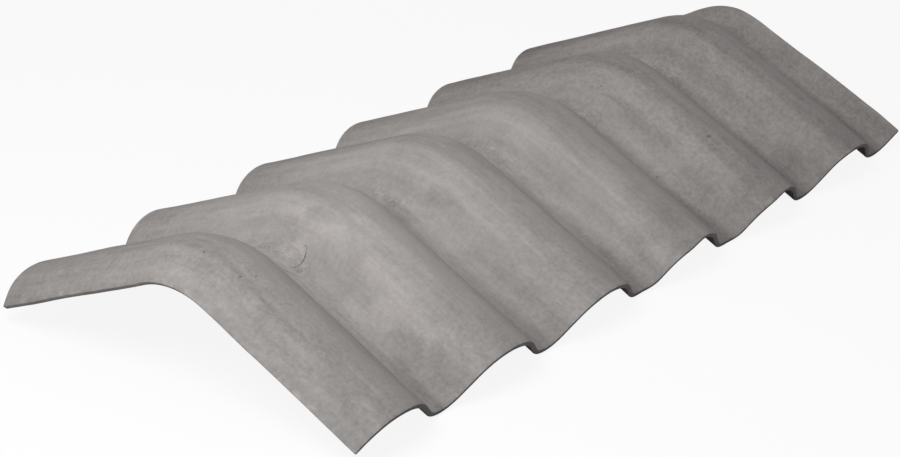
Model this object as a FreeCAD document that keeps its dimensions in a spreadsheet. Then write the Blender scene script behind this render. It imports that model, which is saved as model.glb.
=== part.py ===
"""Corrugated fibre-cement ridge cap, moulded in one piece.

One corrugation is drawn as a section at the ridge and swept over the bend and down the front slope.
It is repeated along the ridge, cut off at both ends square to the sheet, and mirrored to the back slope.
Frame: X along the ridge, Y across it, Z up. The cap stands on its eaves at Z = 0, centred on X and Y.
"""
import math
import os

import FreeCAD
import Part
import Sketcher

OUT_FOLDER = "parts"
NODE = "ridge_cap"

# Driving dimensions: alias, value, what it is. Lengths in millimetres, angles in degrees.
DIMENSIONS = [
    ("cap_length", 1074.0, "length along the ridge, over the corners of both ends"),
    ("wave_pitch", 177.0, "crest to crest"),
    ("profile_depth", 51.0, "underside of a trough to the top of a crest"),
    ("sheet_thickness", 6.0, "square to the sheet"),
    ("flank_angle", 45.0, "slope of the straight flank between a crest and a trough"),
    ("trough_radius", 36.0, "rounding of a trough at mid thickness"),
    ("near_end_to_crest", 58.0, "near end to the first crest"),
    ("roof_pitch", 25.0, "slope of each flange"),
    ("flange_length", 255.0, "down the slope, from where the two slopes would meet to the eave"),
    ("bend_radius", 95.0, "rounding of the ridge at mid depth"),
]

# Sizes that follow from the driving ones: alias, formula, what it is.
DERIVED = [
    (
        "wave_height",
        "Dimensions.profile_depth - Dimensions.sheet_thickness",
        "trough to crest at mid thickness",
    ),
    (
        "crest_radius",
        "(Dimensions.wave_pitch / 2 * tan(Dimensions.flank_angle) - wave_height)"
        " * cos(Dimensions.flank_angle) / (1 - cos(Dimensions.flank_angle)) - Dimensions.trough_radius",
        "rounding of a crest at mid thickness, with flanks that meet both arcs smoothly",
    ),
    ("half_sheet", "Dimensions.sheet_thickness / 2", "mid thickness to either face"),
    (
        "eave_height",
        "Dimensions.profile_depth / 2 * cos(Dimensions.roof_pitch)",
        "floor to mid depth at the eave",
    ),
    (
        "apex_height",
        "eave_height + Dimensions.flange_length * sin(Dimensions.roof_pitch)"
        " - Dimensions.bend_radius * (1 / cos(Dimensions.roof_pitch) - 1)",
        "floor to mid depth at the ridge",
    ),
    (
        "straight_flange",
        "Dimensions.flange_length - Dimensions.bend_radius * tan(Dimensions.roof_pitch)",
        "flange below the rounding of the ridge",
    ),
    ("half_length", "Dimensions.cap_length / 2", "middle of the cap to either end"),
    ("first_crest", "Dimensions.near_end_to_crest - half_length", "middle of the cap to the first crest"),
    (
        "wave_count",
        "ceil((Dimensions.cap_length - Dimensions.near_end_to_crest) / Dimensions.wave_pitch + 0.5)",
        "corrugations that reach past both ends",
    ),
    (
        "last_crest",
        "first_crest + (wave_count - 1) * Dimensions.wave_pitch",
        "middle of the cap to the crest past the far end",
    ),
    (
        "end_lean",
        "half_sheet * sin(Dimensions.flank_angle)",
        "along the ridge, from mid thickness of an end to its outer corner",
    ),
    ("near_end_run", "Dimensions.near_end_to_crest - end_lean", "first crest back to mid thickness of the near end"),
    ("far_end_run", "last_crest - half_length + end_lean", "last crest back to mid thickness of the far end"),
    (
        "flank_peak",
        "wave_height / 2 + crest_radius * (1 / cos(Dimensions.flank_angle) - 1)",
        "mid depth to where the two flanks of a crest would meet",
    ),
    (
        "near_end_height",
        "flank_peak - near_end_run * tan(Dimensions.flank_angle)",
        "mid depth to mid thickness of the near end",
    ),
    (
        "far_end_height",
        "flank_peak - far_end_run * tan(Dimensions.flank_angle)",
        "mid depth to mid thickness of the far end",
    ),
]

# Both ends are on the flank before a crest: end, crest that follows it, and the side that is cut off.
ENDS = [("near_end", "first_crest", -1), ("far_end", "last_crest", 1)]

# Ends and centre of a sketch line or arc, and the sketch's own axes and origin, as the sketcher numbers them.
START, END, CENTRE = range(1, 4)
HORIZONTAL_AXIS, VERTICAL_AXIS = range(-1, -3, -1)
ORIGIN = (HORIZONTAL_AXIS, START)


def fill_sheet(doc, name, rows, prefix):
    """A spreadsheet with one aliased value in column B of each row."""
    sheet = doc.addObject("Spreadsheet::Sheet", name)
    for row, (alias, value, note) in enumerate(rows, start=1):
        sheet.set(f"A{row}", alias)
        sheet.set(f"B{row}", f"{prefix}{value}")
        sheet.set(f"C{row}", note)
        sheet.setAlias(f"B{row}", alias)
        doc.recompute()
    return sheet


def origin_plane(body, role):
    """One of the body's own origin planes, such as XZ_Plane."""
    return next(feature for feature in body.Origin.OriginFeatures if feature.Role == role)


def new_sketch(body, name, role):
    """An empty sketch on one of the body's origin planes."""
    sketch = body.newObject("Sketcher::SketchObject", name)
    sketch.AttachmentSupport = [(origin_plane(body, role), "")]
    sketch.MapMode = "FlatFace"
    return sketch


def point(x, y):
    return FreeCAD.Vector(x, y, 0)


def arc(centre, radius, first_angle, last_angle):
    """A counter-clockwise arc in a sketch, with its angles in radians."""
    circle = Part.Circle(centre, FreeCAD.Vector(0, 0, 1), radius)
    return Part.ArcOfCircle(circle, first_angle, last_angle)


def constrain(sketch, kind, *where, name=None, formula=None):
    """Adds a constraint, named and bound to the spreadsheets where a formula is given."""
    index = sketch.addConstraint(Sketcher.Constraint(kind, *where))
    if formula:
        sketch.renameConstraint(index, name)
        sketch.setExpression(f"Constraints.{name}", formula)


def draw_path(body, dims, derived):
    """The section's route at mid depth: from the ridge over the bend, then straight down to the front eave."""
    sketch = new_sketch(body, "SlopePath", "YZ_Plane")
    pitch = math.radians(dims.roof_pitch)
    centre = point(0, derived.apex_height - dims.bend_radius)
    bend_end = centre + point(-math.sin(pitch), math.cos(pitch)) * dims.bend_radius
    eave = bend_end - point(math.cos(pitch), math.sin(pitch)) * derived.straight_flange
    bend = sketch.addGeometry(arc(centre, dims.bend_radius, math.pi / 2, math.pi / 2 + pitch))
    slope = sketch.addGeometry(Part.LineSegment(bend_end, eave))
    constrain(sketch, "Tangent", bend, END, slope, START)
    constrain(sketch, "PointOnObject", bend, CENTRE, VERTICAL_AXIS)
    constrain(sketch, "PointOnObject", bend, START, VERTICAL_AXIS)
    constrain(sketch, "Radius", bend, dims.bend_radius, name="bend", formula="Dimensions.bend_radius")
    constrain(
        sketch, "DistanceY", *ORIGIN, bend, START, derived.apex_height,
        name="apex", formula="Derived.apex_height",
    )
    constrain(
        sketch, "Distance", slope, derived.straight_flange,
        name="slope", formula="Derived.straight_flange",
    )
    constrain(
        sketch, "DistanceY", *ORIGIN, slope, END, derived.eave_height,
        name="eave", formula="Derived.eave_height",
    )
    return sketch


def draw_face(sketch, dims, derived, offset):
    """One face of a corrugation, trough to trough with its crest on the sketch's vertical axis.

    offset is from mid thickness: above it for the top face, below it for the underside.
    Returns the geometry numbers, left to right: trough arc, flank, crest arc, flank, trough arc.
    """
    lean = math.radians(dims.flank_angle)
    crest_radius = derived.crest_radius + offset
    trough_radius = dims.trough_radius - offset
    crest = point(0, derived.wave_height / 2 - derived.crest_radius)
    left = point(-dims.wave_pitch / 2, dims.trough_radius - derived.wave_height / 2)
    right = point(dims.wave_pitch / 2, left.y)
    to_top, to_bottom = math.pi / 2, -math.pi / 2
    left_normal = point(-math.sin(lean), math.cos(lean))
    right_normal = point(math.sin(lean), math.cos(lean))
    shapes = [
        arc(left, trough_radius, to_bottom, to_bottom + lean),
        Part.LineSegment(left - left_normal * trough_radius, crest + left_normal * crest_radius),
        arc(crest, crest_radius, to_top - lean, to_top + lean),
        Part.LineSegment(crest + right_normal * crest_radius, right - right_normal * trough_radius),
        arc(right, trough_radius, to_bottom - lean, to_bottom),
    ]
    numbers = [sketch.addGeometry(shape) for shape in shapes]
    left_trough, left_flank, crest_arc, right_flank, right_trough = numbers
    constrain(sketch, "Tangent", left_trough, END, left_flank, START)
    constrain(sketch, "Tangent", left_flank, END, crest_arc, END)
    constrain(sketch, "Tangent", crest_arc, START, right_flank, START)
    constrain(sketch, "Tangent", right_flank, END, right_trough, START)
    constrain(sketch, "Vertical", left_trough, CENTRE, left_trough, START)
    constrain(sketch, "Vertical", right_trough, CENTRE, right_trough, END)
    constrain(sketch, "Equal", left_trough, right_trough)
    return numbers


def draw_section(body, dims, derived):
    """One whole corrugation in section: two faces, and the cuts through the troughs where its neighbours join."""
    sketch = new_sketch(body, "CorrugationSection", "XZ_Plane")
    sketch.setExpression("AttachmentOffset.Base.x", "Derived.first_crest")
    sketch.setExpression("AttachmentOffset.Base.y", "Derived.apex_height")
    top = draw_face(sketch, dims, derived, derived.half_sheet)
    under = draw_face(sketch, dims, derived, -derived.half_sheet)
    for trough, side in ((0, START), (4, END)):
        ends = [sketch.getPoint(face[trough], side) for face in (top, under)]
        joint = sketch.addGeometry(Part.LineSegment(*ends))
        constrain(sketch, "Coincident", joint, START, top[trough], side)
        constrain(sketch, "Coincident", joint, END, under[trough], side)
    for trough_or_crest in (0, 2, 4):
        constrain(sketch, "Coincident", top[trough_or_crest], CENTRE, under[trough_or_crest], CENTRE)
    left, crest, right = top[0], top[2], top[4]
    constrain(sketch, "PointOnObject", crest, CENTRE, VERTICAL_AXIS)
    constrain(sketch, "Symmetric", left, CENTRE, right, CENTRE, VERTICAL_AXIS)
    constrain(
        sketch, "DistanceX", *ORIGIN, right, CENTRE, dims.wave_pitch / 2,
        name="half_pitch", formula="Dimensions.wave_pitch / 2",
    )
    constrain(
        sketch, "DistanceY", *ORIGIN, crest, CENTRE, derived.wave_height / 2 - derived.crest_radius,
        name="crest_centre", formula="Derived.wave_height / 2 - Derived.crest_radius",
    )
    constrain(
        sketch, "DistanceY", *ORIGIN, right, CENTRE, dims.trough_radius - derived.wave_height / 2,
        name="trough_centre", formula="Dimensions.trough_radius - Derived.wave_height / 2",
    )
    for face, sign, name in ((top, "+", "top"), (under, "-", "under")):
        opposite = {"+": "-", "-": "+"}[sign]
        half = derived.half_sheet if face is top else -derived.half_sheet
        constrain(
            sketch, "Radius", face[2], derived.crest_radius + half,
            name=f"{name}_crest", formula=f"Derived.crest_radius {sign} Derived.half_sheet",
        )
        constrain(
            sketch, "Radius", face[4], dims.trough_radius - half,
            name=f"{name}_trough", formula=f"Dimensions.trough_radius {opposite} Derived.half_sheet",
        )
    return sketch


def draw_cut(body, dims, derived, end, crest, side):
    """What is cut off at an end, in section: all that is past a line square to the sheet on the flank before a crest."""
    sketch = new_sketch(body, f"{end}_cut", "XZ_Plane")
    sketch.setExpression("AttachmentOffset.Base.x", f"Derived.{crest}")
    sketch.setExpression("AttachmentOffset.Base.y", "Derived.apex_height")
    run, height = getattr(derived, f"{end}_run"), getattr(derived, f"{end}_height")
    reach, waste = dims.profile_depth, side * dims.wave_pitch
    lean = math.tan(math.radians(dims.flank_angle))
    low = point(-run + (height + reach) * lean, -reach)
    high = point(-run + (height - reach) * lean, reach)
    corners = [low, high, point(waste, reach), point(waste, -reach)]
    cut, top, outer, under = (
        sketch.addGeometry(Part.LineSegment(corner, after))
        for corner, after in zip(corners, corners[1:] + corners[:1])
    )
    for line, after in ((cut, top), (top, outer), (outer, under), (under, cut)):
        constrain(sketch, "Coincident", line, END, after, START)
    constrain(sketch, "Horizontal", top)
    constrain(sketch, "Vertical", outer)
    constrain(sketch, "Horizontal", under)
    middle = sketch.addGeometry(Part.Point(point(-run, height)))
    constrain(sketch, "PointOnObject", middle, START, cut)
    constrain(
        sketch, "Angle", cut, math.pi / 2 + math.radians(dims.flank_angle),
        name="square_to_flank", formula="90 + Dimensions.flank_angle",
    )
    constrain(sketch, "DistanceX", *ORIGIN, middle, START, -run, name="run", formula=f"-Derived.{end}_run")
    constrain(sketch, "DistanceY", *ORIGIN, middle, START, height, name="height", formula=f"Derived.{end}_height")
    constrain(sketch, "DistanceY", *ORIGIN, top, START, reach, name="above", formula="Dimensions.profile_depth")
    constrain(sketch, "DistanceY", *ORIGIN, under, START, -reach, name="below", formula="-Dimensions.profile_depth")
    constrain(
        sketch, "DistanceX", *ORIGIN, outer, START, waste,
        name="waste", formula=f"{side} * Dimensions.wave_pitch",
    )
    return sketch


def require_sound(doc):
    """Stops the build if any feature failed or any solid is not valid."""
    for feature in doc.Objects:
        if {"Invalid", "Error"} & set(feature.State):
            raise RuntimeError(f"{feature.Name} failed: {feature.getStatusString()}")
        if feature.isDerivedFrom("PartDesign::Feature") and not feature.Shape.isValid():
            raise RuntimeError(f"{feature.Name} has a shape that is not valid")


doc = FreeCAD.newDocument("RidgeCap")
dims = fill_sheet(doc, "Dimensions", DIMENSIONS, "")
derived = fill_sheet(doc, "Derived", DERIVED, "=")

body = doc.addObject("PartDesign::Body", "Cap")
body.Label = NODE

# One corrugation of the front slope, from the middle of the ridge to the eave.
path = draw_path(body, dims, derived)
section = draw_section(body, dims, derived)
doc.recompute()
corrugation = body.newObject("PartDesign::AdditivePipe", "Corrugation")
corrugation.Profile = section
corrugation.Spine = (path, ["Edge1", "Edge2"])
doc.recompute()

# The front slope: corrugations side by side along the ridge.
front_slope = body.newObject("PartDesign::LinearPattern", "FrontSlope")
front_slope.Originals = [corrugation]
front_slope.Direction = (section, ["H_Axis"])
front_slope.Mode = "Spacing"
front_slope.setExpression("Offset", "Dimensions.wave_pitch")
front_slope.setExpression("Occurrences", "Derived.wave_count")
body.Tip = front_slope
doc.recompute()

# Both ends cut off square to the sheet, over the bend and down the slope.
for end, crest, side in ENDS:
    cut = draw_cut(body, dims, derived, end, crest, side)
    doc.recompute()
    cut_end = body.newObject("PartDesign::SubtractivePipe", end)
    cut_end.Profile = cut
    cut_end.Spine = (path, ["Edge1", "Edge2"])
    doc.recompute()

# The back slope is the front one mirrored across the ridge.
back_slope = body.newObject("PartDesign::Mirrored", "BackSlope")
back_slope.TransformMode = "Whole shape"
back_slope.MirrorPlane = (origin_plane(body, "XZ_Plane"), [""])
body.Tip = back_slope
doc.recompute()

require_sound(doc)
if len(body.Shape.Solids) != 1:
    raise RuntimeError(f"the cap should be one solid, not {len(body.Shape.Solids)}")
os.makedirs(OUT_FOLDER, exist_ok=True)
body.Shape.exportStep(os.path.join(OUT_FOLDER, f"{NODE}.step"))
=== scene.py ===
"""Looks of a corrugated fibre-cement ridge cap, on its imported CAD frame. Metres, X along the ridge, Z up."""
import math

import bpy
from mathutils import Matrix, Vector


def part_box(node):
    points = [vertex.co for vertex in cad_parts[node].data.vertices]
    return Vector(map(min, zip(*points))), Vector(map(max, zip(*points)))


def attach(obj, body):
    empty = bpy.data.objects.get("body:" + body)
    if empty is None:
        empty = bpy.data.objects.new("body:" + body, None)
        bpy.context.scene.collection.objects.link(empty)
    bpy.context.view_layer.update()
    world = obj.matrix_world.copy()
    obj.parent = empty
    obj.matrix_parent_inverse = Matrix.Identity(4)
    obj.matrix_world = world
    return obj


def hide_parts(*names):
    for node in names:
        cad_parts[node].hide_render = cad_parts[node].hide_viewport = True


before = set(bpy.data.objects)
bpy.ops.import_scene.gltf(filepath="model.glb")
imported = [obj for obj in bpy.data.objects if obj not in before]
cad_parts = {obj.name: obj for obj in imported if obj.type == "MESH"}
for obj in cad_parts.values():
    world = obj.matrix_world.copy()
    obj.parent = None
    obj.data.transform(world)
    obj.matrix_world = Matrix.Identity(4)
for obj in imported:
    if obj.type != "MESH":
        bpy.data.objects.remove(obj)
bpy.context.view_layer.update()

# The ridge cap.
# One sheet of fibre cement, laid wet over a corrugated former, with its ends and eaves trimmed square to it.
# It is modelled as it is formed: one wave, repeated, bent over the ridge and drawn down the slope.
low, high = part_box("ridge_cap")
cap_length = high.x - low.x
wave_pitch = 0.177
profile_depth = 0.051
sheet_thickness = 0.006
flank_angle = math.radians(45)
trough_radius = 0.036
near_end_to_crest = 0.058
roof_pitch = math.radians(25)
flange_length = 0.255
bend_radius = 0.095
arris_wear = 0.0011
arris_angle = math.radians(50)
smooth_angle = math.radians(35)
facet = 0.0042
weld = sheet_thickness / 100

wave_height = profile_depth - sheet_thickness
height_rounded_off = wave_pitch / 2 * math.tan(flank_angle) - wave_height
radius_sum = height_rounded_off * math.cos(flank_angle) / (1 - math.cos(flank_angle))
crest_radius = radius_sum - trough_radius
flank_length = (wave_pitch / 2 - radius_sum * math.sin(flank_angle)) / math.cos(flank_angle)
apex_height = high.z - profile_depth / 2
first_crest = low.x + near_end_to_crest
waves = math.ceil((cap_length - near_end_to_crest) / wave_pitch + 0.5)
last_crest = first_crest + (waves - 1) * wave_pitch
straight_flange = flange_length - bend_radius * math.tan(roof_pitch)


def facets(length):
    """How many facets a stretch of the sheet gets."""
    return max(1, round(length / facet))


def extrude(move, length):
    """Draws the selection out along a direction, one facet at a time."""
    steps = facets(length)
    for _ in range(steps):
        bpy.ops.mesh.extrude_region_move(TRANSFORM_OT_translate={"value": move * (length / steps)})


def turn(centre, axis, angle, radius):
    """Draws the selection round a centre line by facets. A positive angle is right-handed about the axis."""
    bpy.ops.mesh.spin(steps=facets(abs(angle) * radius), angle=-angle, center=centre, axis=axis)


def apply_modifier(piece, kind, **settings):
    """Adds a modifier with its settings and applies it."""
    modifier = piece.modifiers.new(kind.title(), kind)
    for name, value in settings.items():
        setattr(modifier, name, value)
    bpy.ops.object.modifier_apply(modifier=modifier.name)


def select_faces(piece, wanted):
    """Selects, in edit mode, the faces whose centre and normal pass a test."""
    bpy.ops.mesh.select_mode(type="FACE")
    bpy.ops.mesh.select_all(action="DESELECT")
    bpy.ops.object.mode_set(mode="OBJECT")
    for face in piece.data.polygons:
        face.select = wanted(face.center, face.normal)
    bpy.ops.object.mode_set(mode="EDIT")


along, across, upward = Vector((1, 0, 0)), Vector((0, 1, 0)), Vector((0, 0, 1))
trough_left = Vector((first_crest - wave_pitch / 2, 0, apex_height - wave_height / 2))
trough_right = trough_left + along * wave_pitch
crest_top = Vector((first_crest, 0, apex_height + wave_height / 2))
climb = along * math.cos(flank_angle) + upward * math.sin(flank_angle)
fall = along * math.cos(flank_angle) - upward * math.sin(flank_angle)

# One wave at mid thickness, from trough to trough, then all the waves side by side.
bpy.ops.object.select_all(action="DESELECT")
bpy.ops.mesh.primitive_plane_add(size=sheet_thickness, location=trough_left)
cap = bpy.context.object
cap.name = "cap_sheet"
bpy.ops.object.transform_apply(location=True)
bpy.ops.object.mode_set(mode="EDIT")
bpy.ops.mesh.select_mode(type="VERT")
bpy.ops.mesh.select_all(action="SELECT")
bpy.ops.mesh.merge(type="CENTER")
turn(trough_left + upward * trough_radius, across, -flank_angle, trough_radius)
extrude(climb, flank_length)
turn(crest_top - upward * crest_radius, across, 2 * flank_angle, crest_radius)
extrude(fall, flank_length)
turn(trough_right + upward * trough_radius, across, -flank_angle, trough_radius)
bpy.ops.object.mode_set(mode="OBJECT")
apply_modifier(
    cap, "ARRAY", count=waves, use_relative_offset=False, use_constant_offset=True,
    constant_offset_displace=along * wave_pitch, use_merge_vertices=True, merge_threshold=weld,
)

# The sheet's thickness, and its two ends cut square to the flank that they are on.
# Only the section itself is kept, and a sliver beside a cut is joined to the facet behind it.
bpy.ops.object.mode_set(mode="EDIT")
bpy.ops.mesh.select_all(action="SELECT")
bpy.ops.mesh.extrude_region_move(TRANSFORM_OT_translate={"value": across * sheet_thickness})
bpy.ops.object.mode_set(mode="OBJECT")
apply_modifier(cap, "SOLIDIFY", thickness=sheet_thickness, offset=0, use_even_offset=True)
end_lean = sheet_thickness / 2 * math.sin(flank_angle)
flank_peak = crest_top.z + crest_radius * (1 / math.cos(flank_angle) - 1)
near_end = first_crest, low.x + end_lean, -climb
far_end = last_crest, high.x - end_lean, climb
ends = []
for crest, middle, outward in (near_end, far_end):
    ends.append((Vector((middle, 0, flank_peak - (crest - middle) * math.tan(flank_angle))), outward))
bpy.ops.object.mode_set(mode="EDIT")
for end, outward in ends:
    bpy.ops.mesh.select_all(action="SELECT")
    bpy.ops.mesh.bisect(plane_co=end, plane_no=outward, clear_outer=True, use_fill=True)
section_depth = sheet_thickness / 10
square_on = 0.9
select_faces(cap, lambda centre, normal: centre.y > section_depth or abs(normal.y) < square_on)
bpy.ops.mesh.delete(type="FACE")
end_facet = facet * 1.1
for end, outward in ends:
    select_faces(cap, lambda centre, normal: abs((centre - end).dot(outward)) < end_facet)
    bpy.ops.mesh.dissolve_faces(use_verts=True)

# The section drawn over the bend and down the front slope, and the same for the back.
bpy.ops.mesh.select_all(action="SELECT")
ridge_axis = upward * (apex_height - bend_radius)
down_slope = -across * math.cos(roof_pitch) - upward * math.sin(roof_pitch)
turn(ridge_axis, along, roof_pitch, bend_radius)
extrude(down_slope, straight_flange)
select_faces(cap, lambda centre, normal: abs(centre.y) < weld)
bpy.ops.mesh.delete(type="FACE")
bpy.ops.object.mode_set(mode="OBJECT")
apply_modifier(cap, "MIRROR", use_axis=(False, True, False), merge_threshold=weld)
bpy.ops.object.mode_set(mode="EDIT")
bpy.ops.mesh.select_all(action="SELECT")
bpy.ops.mesh.normals_make_consistent(inside=False)
bpy.ops.object.mode_set(mode="OBJECT")
apply_modifier(cap, "BEVEL", width=arris_wear, segments=2, limit_method="ANGLE", angle_limit=arris_angle)


def swell(piece, direction, size, height, group=""):
    """Pushes a piece in and out along an axis in soft random swellings, or only a vertex group of it."""
    texture = bpy.data.textures.new("swellings", "CLOUDS")
    texture.noise_scale = size
    apply_modifier(
        piece, "DISPLACE", texture=texture, texture_coords="LOCAL", vertex_group=group,
        direction=direction, strength=height, mid_level=0.5,
    )


# The wet sheet crumples where its troughs go over the bend, and the whole sheet isn't quite true.
crumple_reach = 0.075
crumple_start = 0.32
crumple_size, crumple_height = 0.012, 0.0022
crumpled = cap.vertex_groups.new(name="crumpled_troughs")
for vertex in cap.data.vertices:
    off_crest = abs(((vertex.co.x - first_crest) / wave_pitch + 0.5) % 1 - 0.5)
    into_trough = max(0, off_crest - crumple_start) / (0.5 - crumple_start)
    up_bend = max(0, 1 - abs(vertex.co.y) / crumple_reach)
    crumpled.add([vertex.index], into_trough * up_bend, "REPLACE")
swell(cap, "Z", crumple_size, crumple_height, crumpled.name)
for direction, size, height in (("X", 0.110, 0.0032), ("Y", 0.130, 0.0026), ("Z", 0.090, 0.0024)):
    swell(cap, direction, size, height)
cap.vertex_groups.clear()


def press(piece, wanted, move, reach):
    """Presses a spot of the sheet out of true, fading out over a reach."""
    bpy.ops.object.mode_set(mode="EDIT")
    bpy.ops.mesh.select_mode(type="VERT")
    bpy.ops.mesh.select_all(action="DESELECT")
    bpy.ops.object.mode_set(mode="OBJECT")
    for vertex in piece.data.vertices:
        vertex.select = wanted(vertex.co)
    bpy.ops.object.mode_set(mode="EDIT")
    bpy.ops.transform.translate(
        value=move, use_proportional_edit=True, proportional_edit_falloff="SMOOTH", proportional_size=reach,
    )
    bpy.ops.object.mode_set(mode="OBJECT")


# The ridge leans back at its far end, the last trough is shallow just behind the ridge,
# and the front eave of the fourth and fifth waves droops on its near flank.
last_trough = last_crest - wave_pitch / 2
far_ridge_start, ridge_half_width = last_trough + 0.006, 0.045
lean_back, lean_reach = across * 0.010, 0.110
press(cap, lambda spot: spot.x > far_ridge_start and abs(spot.y) < ridge_half_width, lean_back, lean_reach)
shallow_half_width, shallow_start, shallow_end = 0.012, 0.012, 0.050
lift, lift_reach = upward * 0.010, 0.050
press(
    cap, lambda spot: abs(spot.x - last_trough) < shallow_half_width and shallow_start < spot.y < shallow_end,
    lift, lift_reach,
)
flank_foot, flank_head, eave_strip = -0.32, -0.10, -0.222
droop, droop_reach = upward * -0.006, 0.036
for wave in (4, 5):
    crest = first_crest + (wave - 1) * wave_pitch
    press(
        cap, lambda spot: flank_foot < (spot.x - crest) / wave_pitch < flank_head and spot.y < eave_strip,
        droop, droop_reach,
    )

# The swellings and presses change the overall size a little, so the sheet is brought back to its box.
made_low, made_high = (
    Vector(corner(vertex.co[axis] for vertex in cap.data.vertices) for axis in range(3))
    for corner in (min, max)
)
to_size = [(high[axis] - low[axis]) / (made_high[axis] - made_low[axis]) for axis in range(3)]
bpy.ops.object.mode_set(mode="EDIT")
bpy.ops.mesh.select_all(action="SELECT")
bpy.ops.transform.resize(value=to_size, center_override=(made_low + made_high) / 2)
bpy.ops.transform.translate(value=(low + high) / 2 - (made_low + made_high) / 2)
bpy.ops.object.mode_set(mode="OBJECT")
bpy.ops.object.shade_smooth_by_angle(angle=smooth_angle)


class Field:
    """A number, place or colour that changes over a surface. Arithmetic on numbers adds their Math nodes."""

    def __init__(self, tree, socket):
        self.tree = tree
        self.socket = socket

    def node(self, kind, settings, values, output=0):
        """Adds any other node: its settings first, then the values or links of its sockets."""
        added = self.tree.nodes.new("ShaderNode" + kind)
        for name, setting in settings.items():
            setattr(added, name, setting)
        for name, value in values.items():
            if isinstance(value, Field):
                self.tree.links.new(value.socket, added.inputs[name])
            else:
                added.inputs[name].default_value = value
        return Field(self.tree, added.outputs[output] if added.outputs else None)

    def math(self, operation, *terms):
        """Adds a Math node."""
        return self.node("Math", {"operation": operation}, dict(enumerate(terms)))

    def __add__(self, other):
        return self.math("ADD", self, other)

    def __sub__(self, other):
        return self.math("SUBTRACT", self, other)

    def __rsub__(self, other):
        return self.math("SUBTRACT", other, self)

    def __mul__(self, other):
        return self.math("MULTIPLY", self, other)

    def __truediv__(self, other):
        return self.math("DIVIDE", self, other)

    def __abs__(self):
        return self.math("ABSOLUTE", self)

    __radd__ = __add__
    __rmul__ = __mul__


def new_finish(name):
    """An empty material, and the place on the piece that its patterns are drawn from."""
    finish = bpy.data.materials.new(name)
    finish.use_nodes = True
    finish.node_tree.nodes.clear()
    return finish, Field(finish.node_tree, None).node("TexCoord", {}, {}, "Object")


def fade(field, start, end):
    """0 before the start and 1 past the end, with a smooth climb between."""
    climbing = {"interpolation_type": "SMOOTHSTEP"}
    return field.node("MapRange", climbing, {"Value": field, "From Min": start, "From Max": end})


def band(field, start, full, ebb, end):
    """1 in a band and 0 outside it, climbing from the start to full and falling from the ebb to the end."""
    return fade(field, start, full) * (1 - fade(field, ebb, end))


def either(mask, *others):
    """The strongest of several masks at each place."""
    for other in others:
        mask = mask.math("MAXIMUM", mask, other)
    return mask


def blotches(place, size, detail, stretch=(1, 1, 1)):
    """Soft blotches of a size in metres, most within -0.5 and 0.5, drawn out along each axis by a stretch."""
    drawn = place.node("Mapping", {}, {"Vector": place, "Scale": [1 / (size * each) for each in stretch]})
    noise = drawn.node("TexNoise", {}, {"Vector": drawn, "Scale": 1.0, "Detail": detail, "Roughness": 0.55})
    return (noise - 0.5) * 2


def shake(place, size, reach):
    """Places pushed about at random, for lines that wander."""
    push = place.node("TexNoise", {}, {"Vector": place, "Scale": 1 / size, "Detail": 2.0}, "Color")
    push = push.node("VectorMath", {"operation": "SUBTRACT"}, {0: push, 1: (0.5, 0.5, 0.5)})
    reaches = (reach, reach, reach)
    return push.node("VectorMath", {"operation": "MULTIPLY_ADD"}, {0: push, 1: reaches, 2: place})


def mix(share, one, other):
    """A colour between two, through the Mix node's colour sockets."""
    return share.node("Mix", {"data_type": "RGBA"}, {0: share, 6: one, 7: other}, 2)


def linear(red, green, blue):
    """A colour as it looks on a screen, 0 to 255, in the linear values that a shader takes."""
    return [((level / 255 + 0.055) / 1.055) ** 2.4 for level in (red, green, blue)] + [1]


def stroke(place, start, end, half_width):
    """1 along a straight stroke, seen from above, and 0 past its half width. A spot has no length."""
    start, run = Vector((*start, 0)), Vector((*end, 0)) - Vector((*start, 0))
    way = run / max(run.length_squared, 1e-9)
    flat = place.node("VectorMath", {"operation": "MULTIPLY"}, {0: place, 1: (1, 1, 0)})
    from_start = flat.node("VectorMath", {"operation": "SUBTRACT"}, {0: flat, 1: start})
    share = from_start.node("VectorMath", {"operation": "DOT_PRODUCT"}, {0: from_start, 1: way}, "Value")
    share = share.node("Clamp", {}, {"Value": share})
    nearest = share.node("VectorMath", {"operation": "SCALE"}, {0: run, "Scale": share})
    apart = nearest.node("VectorMath", {"operation": "DISTANCE"}, {0: from_start, 1: nearest}, "Value")
    full_width = half_width * 0.4
    return 1 - fade(apart, full_width, half_width)


def strokes(place, points, half_width):
    """A line through points, seen from above."""
    return either(*(stroke(place, start, end, half_width) for start, end in zip(points, points[1:])))


# Where a place lies on the sheet. The phase is 0 on a crest and half a wave in the troughs,
# and the slope run is the way down the slope from the ridge.
fibre_cement, place = new_finish("fibre_cement_grey")
x, y, z = (place.node("SeparateXYZ", {}, {"Vector": place}, axis) for axis in "XYZ")
facing = place.node("SeparateXYZ", {}, {"Vector": place.node("NewGeometry", {}, {}, "Normal")}, "Z")
upward_faces = fade(facing, 0.0, 0.15)
turns = (x - first_crest) / wave_pitch + 0.5
phase = turns.math("FRACT", turns) - 0.5
slope_run = abs(y) * math.cos(roof_pitch) + (apex_height - z) * math.sin(roof_pitch)
eave_run = flange_length + bend_radius * (1 - 1 / math.cos(roof_pitch)) * math.sin(roof_pitch)
off_eave = eave_run - slope_run
off_end = cap_length / 2 - abs(x)
off_near_end = x - low.x
near_flank = band(phase, -0.49, -0.38, -0.17, 0.0)
flank_painted_light = band(phase, -0.33, -0.26, -0.18, -0.10)
crest_painted_shade = band(phase, -0.17, -0.05, 0.0, 0.12)
far_shoulder = band(phase, -0.04, 0.10, 0.36, 0.46)
trough_shade = fade(abs(phase), 0.40, 0.49)
ridge_crest_band = band(phase, -0.27, -0.18, -0.08, 0.02) * (1 - fade(abs(y), 0.02, 0.05))
first_wave = band(off_near_end, -0.011, 0.014, 0.082, 0.112) * (1 - 0.7 * fade(slope_run, 0.14, 0.22))
pale_middle = band(x, -0.45, -0.32, 0.10, 0.24)
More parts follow.
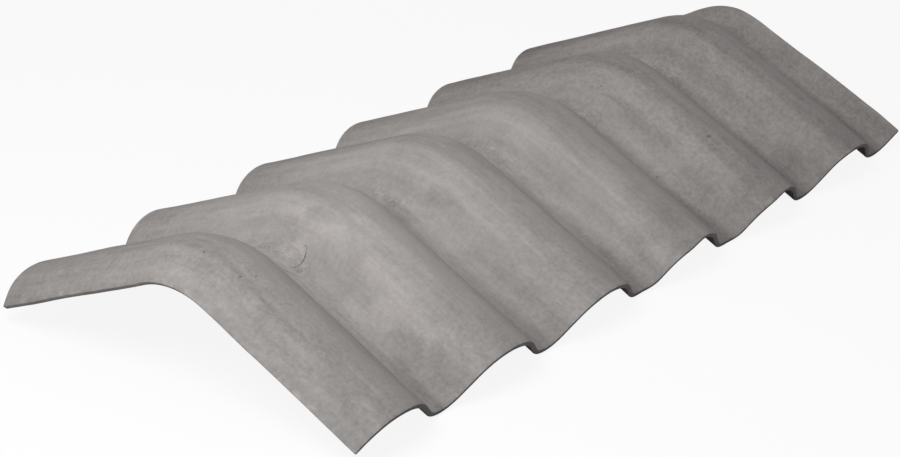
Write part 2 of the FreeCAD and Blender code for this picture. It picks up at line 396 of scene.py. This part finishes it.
upper_slope = (1 - fade(y, -0.045, -0.015)) * (1 - fade(slope_run, 0.10, 0.14))
over_bend = 1 - fade(abs(y), 0.02, crumple_reach)

# Tones laid one over another: broad clouds, patches, the sweep and drag of the trowel down the slope,
# mottling and grain. The upper slope of the middle waves is worked smoother than the rest.
clouds = blotches(place, 0.150, 3)
patches = blotches(place, 0.050, 3)
sweep = blotches(place, 0.020, 2, (1, 10, 6))
drag = blotches(place, 0.009, 3, (1, 12, 6))
hair_lines = blotches(place, 0.0025, 2, (1, 16, 8))
mottle = blotches(place, 0.013, 4)
speckle = blotches(place, 0.0046, 3)
grain = blotches(place, 0.0016, 2)
calm = 1 - 0.6 * far_shoulder
rough = 1.1 - 0.35 * pale_middle * (1 - fade(slope_run, 0.13, 0.21)) + 0.25 * fade(x, 0.05, 0.25)
tone = 1 + 0.10 * clouds + calm * (0.07 * patches + 0.20 * sweep + 0.20 * drag)
tone = tone + 0.08 * hair_lines + rough * (0.13 * grain + calm * (0.13 * mottle + 0.22 * speckle))

# Faint damp stains in a mottled band low on each near flank. Painted light makes a band above them and the far
# shoulders paler, painted shade darkens the crests, and the near side of each crest over the ridge and the
# first wave are darker.
blotched = fade(patches + 0.8 * drag + 0.4 * mottle, -0.35, 0.25)
stain_band = band(phase, -0.42, -0.34, -0.31, -0.22) * (1 - 0.7 * fade(slope_run, 0.10, 0.22))
tone = tone * (1 - 0.07 * stain_band * blotched) * (1 + 0.05 * flank_painted_light)
tone = tone * (1 - (0.10 - 0.03 * upper_slope) * crest_painted_shade)
tone = tone * (1 + (0.06 + 0.06 * upper_slope) * far_shoulder)
tone = tone * (1 - 0.09 * ridge_crest_band) * (1 - 0.12 * first_wave)

# Darker stains and paler swipes down the front slope of some waves.
wandering = shake(place, 0.030, 0.016)


def swipe(wave, aside, start, end, half_width):
    """A soft streak down a wave, a share of the pitch aside of its crest, from start to end off the ridge."""
    line = first_crest + (wave - 1 + aside) * wave_pitch
    return stroke(wandering, (line, -start), (line, -end), half_width)


stains = either(
    swipe(1, -0.17, 0.10, 0.20, 0.016),
    swipe(2, -0.40, -0.01, 0.17, 0.017),
    swipe(2, -0.21, 0.015, 0.075, 0.014),
    swipe(2, -0.35, 0.195, 0.235, 0.018),
    swipe(3, -0.48, 0.0, 0.035, 0.016),
    swipe(3, -0.31, 0.045, 0.085, 0.012),
    swipe(3, -0.42, 0.10, 0.24, 0.022),
    swipe(3, 0.06, 0.03, 0.11, 0.020),
    swipe(4, -0.08, 0.17, 0.25, 0.025),
    swipe(5, -0.31, 0.075, 0.19, 0.012),
    swipe(5, -0.37, 0.19, 0.25, 0.026),
    swipe(6, -0.39, 0.175, 0.22, 0.018),
)
pale_swipes = either(
    swipe(2, -0.065, 0.06, 0.14, 0.016),
    swipe(3, -0.05, 0.18, 0.235, 0.016),
    swipe(4, -0.32, 0.03, 0.11, 0.022),
    swipe(4, -0.31, 0.17, 0.22, 0.014),
    swipe(5, -0.43, 0.0, 0.13, 0.014),
    swipe(5, -0.20, 0.0, 0.10, 0.018),
    swipe(6, -0.41, 0.03, 0.11, 0.020),
)
tone = tone * (1 - 0.17 * stains * blotched) * (1 + 0.08 * pale_swipes)

# The wet sheet crumpled at the foot of each flank where it goes over the bend, with a few pits.
crumple_zone = band(phase, -0.50, -0.47, -0.42, -0.32) * over_bend
crumple = blotches(shake(place, 0.020, 0.012), 0.009, 2, (1.4, 1, 1)) * crumple_zone
creases = (1 - fade(abs(blotches(shake(place, 0.020, 0.010), 0.012, 3)), 0.0, 0.06)) * crumple_zone
pits_per_metre = 75.0
off_pit = place.node("TexVoronoi", {}, {"Vector": place, "Scale": pits_per_metre})
lottery = place.node("TexVoronoi", {}, {"Vector": place, "Scale": pits_per_metre}, "Color")
lottery = lottery.node("SeparateColor", {}, {"Color": lottery}, "Red")
pits = (1 - fade(off_pit, 0.03, 0.08)) * fade(lottery, 0.96, 0.97)

# One open crack with wrinkles beside it, two scratches and a few chips, all darkened with painted shade.
shaken = shake(place, 0.005, 0.0060)
crack_points = (-0.3669, -0.0290), (-0.3781, -0.0322), (-0.3850, -0.0305), (-0.3892, -0.0267)
crack = strokes(shaken, crack_points, 0.0010)
wrinkles = either(
    strokes(shaken, ((-0.4017, -0.0289), (-0.3919, -0.0415)), 0.0014),
    strokes(shaken, ((-0.3956, -0.0213), (-0.3947, -0.0268), (-0.3832, -0.0378)), 0.0012),
    strokes(shaken, ((-0.3640, -0.0235), (-0.3669, -0.0290)), 0.0012),
)
scratches = either(
    strokes(shaken, ((0.1745, -0.0211), (0.1785, -0.0406)), 0.0011),
    strokes(shaken, ((-0.5099, -0.0767), (-0.4989, -0.1100)), 0.0009),
)
chip_size = 0.0015
chip_spots = (-0.4836, -0.0618), (-0.4962, -0.0547), (-0.4983, -0.0085), (0.1801, -0.0167), (0.1468, -0.1222)
long_chip = strokes(shaken, ((0.2134, -0.1447), (0.2164, -0.1467)), 0.0017)
chips = either(long_chip, *(stroke(shaken, spot, spot, chip_size) for spot in chip_spots))
broken = 0.35 + 0.65 * fade(speckle, -0.20, 0.15)
marks = (broken * (0.52 * crack + 0.28 * wrinkles + 0.16 * scratches) + 0.42 * chips) * upward_faces

# Rubbed edges, paler middle waves, and darker towards the eaves. Painted light makes the far shoulders paler
# towards the far end, and painted shade darkens the troughs, more so down the slope.
worn_edge = either(1 - fade(off_end, 0.0015, 0.0060), 1 - fade(off_eave, 0.0010, 0.0050))
worn_edge = worn_edge * fade(mottle + patches, -0.05, 0.45)
tone = tone * (0.98 + 0.07 * pale_middle + 0.14 * x * far_shoulder) * (1 - 0.09 * fade(slope_run, 0.13, 0.25))
tone = tone * (1 - (0.07 + 0.14 * fade(slope_run, 0.10, 0.22)) * trough_shade)
# Painted light on the crumples' rises, and painted shade in their hollows and in the creases.
tone = tone * (1 + 0.20 * crumple) * (1 - 0.14 * creases)
# Painted shade in the pits and in the crack, wrinkles, scratches and chips; the rubbed edges are paler.
tone = tone * (1 - 0.4 * pits) * (1 - marks) * (1 + 0.20 * worn_edge)

# Faces that don't turn up get painted light and shade by the way they face: painted shade dims the underside
# and, less, the cut eaves, and painted light makes the cut ends paler.
end_face = 1 - fade(off_end, 0.0048, 0.0062)
eave_face = 1 - fade(off_eave, 0.0008, 0.0016)
painted_light_by_facing = either(0.48 + 0.80 * end_face, 0.82 * eave_face)
tone = tone * (painted_light_by_facing + (1 - painted_light_by_facing) * upward_faces)

pale_grey = linear(169.5, 165, 163)
stained_grey = linear(163.5, 159, 156.5)
smooth_grey = linear(166, 161, 159)
colour = mix(near_flank * fade(patches, -0.3, 0.4), pale_grey, stained_grey)
colour = mix(0.8 * far_shoulder, colour, smooth_grey)
colour = colour.node("VectorMath", {"operation": "SCALE"}, {0: colour, "Scale": tone})
bumps = 0.14 * grain + 0.16 * speckle + 0.12 * mottle + 0.14 * drag + 0.05 * hair_lines
bumps = bumps + 0.9 * crumple - 0.6 * pits - 0.4 * creases - 0.9 * marks
relief = bumps.node("Bump", {}, {"Height": bumps, "Strength": 0.7, "Distance": 0.001})
surface = relief.node("BsdfPrincipled", {}, {
    "Base Color": colour, "Roughness": 0.86 + 0.08 * mottle, "Normal": relief, "Specular IOR Level": 0.05,
})
surface.node("OutputMaterial", {}, {"Surface": surface})
cap.data.materials.append(fibre_cement)
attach(cap, "root")
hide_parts("ridge_cap")

# The floor.
# A plain pale studio floor that the cap stands on, on its two eaves.
# It looks white, and throws only a little light up under the sheet.
floor_size = 14
white, seen_white, unseen_grey = (1, 1, 1, 1), (0.95, 0.95, 0.95, 1), (0.30, 0.30, 0.30, 1)


def seen_directly(field):
    """1 for what the camera sees, also mirrored or through glass, and 0 for light thrown on a piece."""
    rays = ("Is Camera Ray", "Is Glossy Ray", "Is Transmission Ray")
    return either(*(field.node("LightPath", {}, {}, ray) for ray in rays))


bpy.ops.object.select_all(action="DESELECT")
bpy.ops.mesh.primitive_plane_add(size=floor_size)
floor = bpy.context.object
floor.name = "studio_floor"
pale_floor, floor_place = new_finish("pale_floor")
seen = seen_directly(floor_place)
matt = seen.node("BsdfDiffuse", {}, {"Color": mix(seen, unseen_grey, seen_white)})
glow = seen.node("Emission", {}, {"Color": white, "Strength": 1.0})
floor_surface = seen.node("MixShader", {}, {0: 0.90 * seen, 1: matt, 2: glow})
floor_surface.node("OutputMaterial", {}, {"Surface": floor_surface})
floor.data.materials.append(pale_floor)

# Light.
# One soft lamp high off the near end of the ridge, and an even white room.
lamp_aim = Vector((-0.1, 0, 0.05))
room_light = 0.27
bpy.ops.object.light_add(type="AREA", location=(-1.1, -0.15, 1.2))
lamp = bpy.context.object
lamp.name = "soft_lamp"
lamp.data.shape = "DISK"
lamp.data.size = 0.9
lamp.data.energy = 15
lamp.rotation_euler = (lamp_aim - lamp.location).to_track_quat("-Z", "Y").to_euler()
room = bpy.data.worlds.new("white_room")
bpy.context.scene.world = room
room.use_nodes = True
room.node_tree.nodes.clear()
room_seen = seen_directly(Field(room.node_tree, None))
brightness = room_light + (1 - room_light) * room_seen
air = brightness.node("Background", {}, {"Color": white, "Strength": brightness})
air.node("OutputWorld", {}, {"Surface": air})

# Camera.
# Held a little over a metre up, off the near front corner of the cap, and turned a little on its own axis.
bearing, tilt, roll = 0.9487, 0.4218, 0.0496
camera_distance = 2.7436
aim = Vector((-0.0962, -0.0097, 0.0348))
forward = Vector((math.sin(bearing) * math.cos(tilt), math.cos(bearing) * math.cos(tilt), -math.sin(tilt)))
level = Vector((math.cos(bearing), -math.sin(bearing), 0))
upright = level.cross(forward)
right = level * math.cos(roll) + upright * math.sin(roll)
top = upright * math.cos(roll) - level * math.sin(roll)
bpy.ops.object.camera_add()
camera = bpy.context.object
standpoint = Matrix.Translation(aim - forward * camera_distance)
camera.matrix_world = standpoint @ Matrix((right, top, -forward)).transposed().to_4x4()
camera.data.sensor_width = 36
camera.data.lens = 100.07
bpy.context.scene.camera = camera
bpy.context.scene.view_settings.view_transform = "Standard"
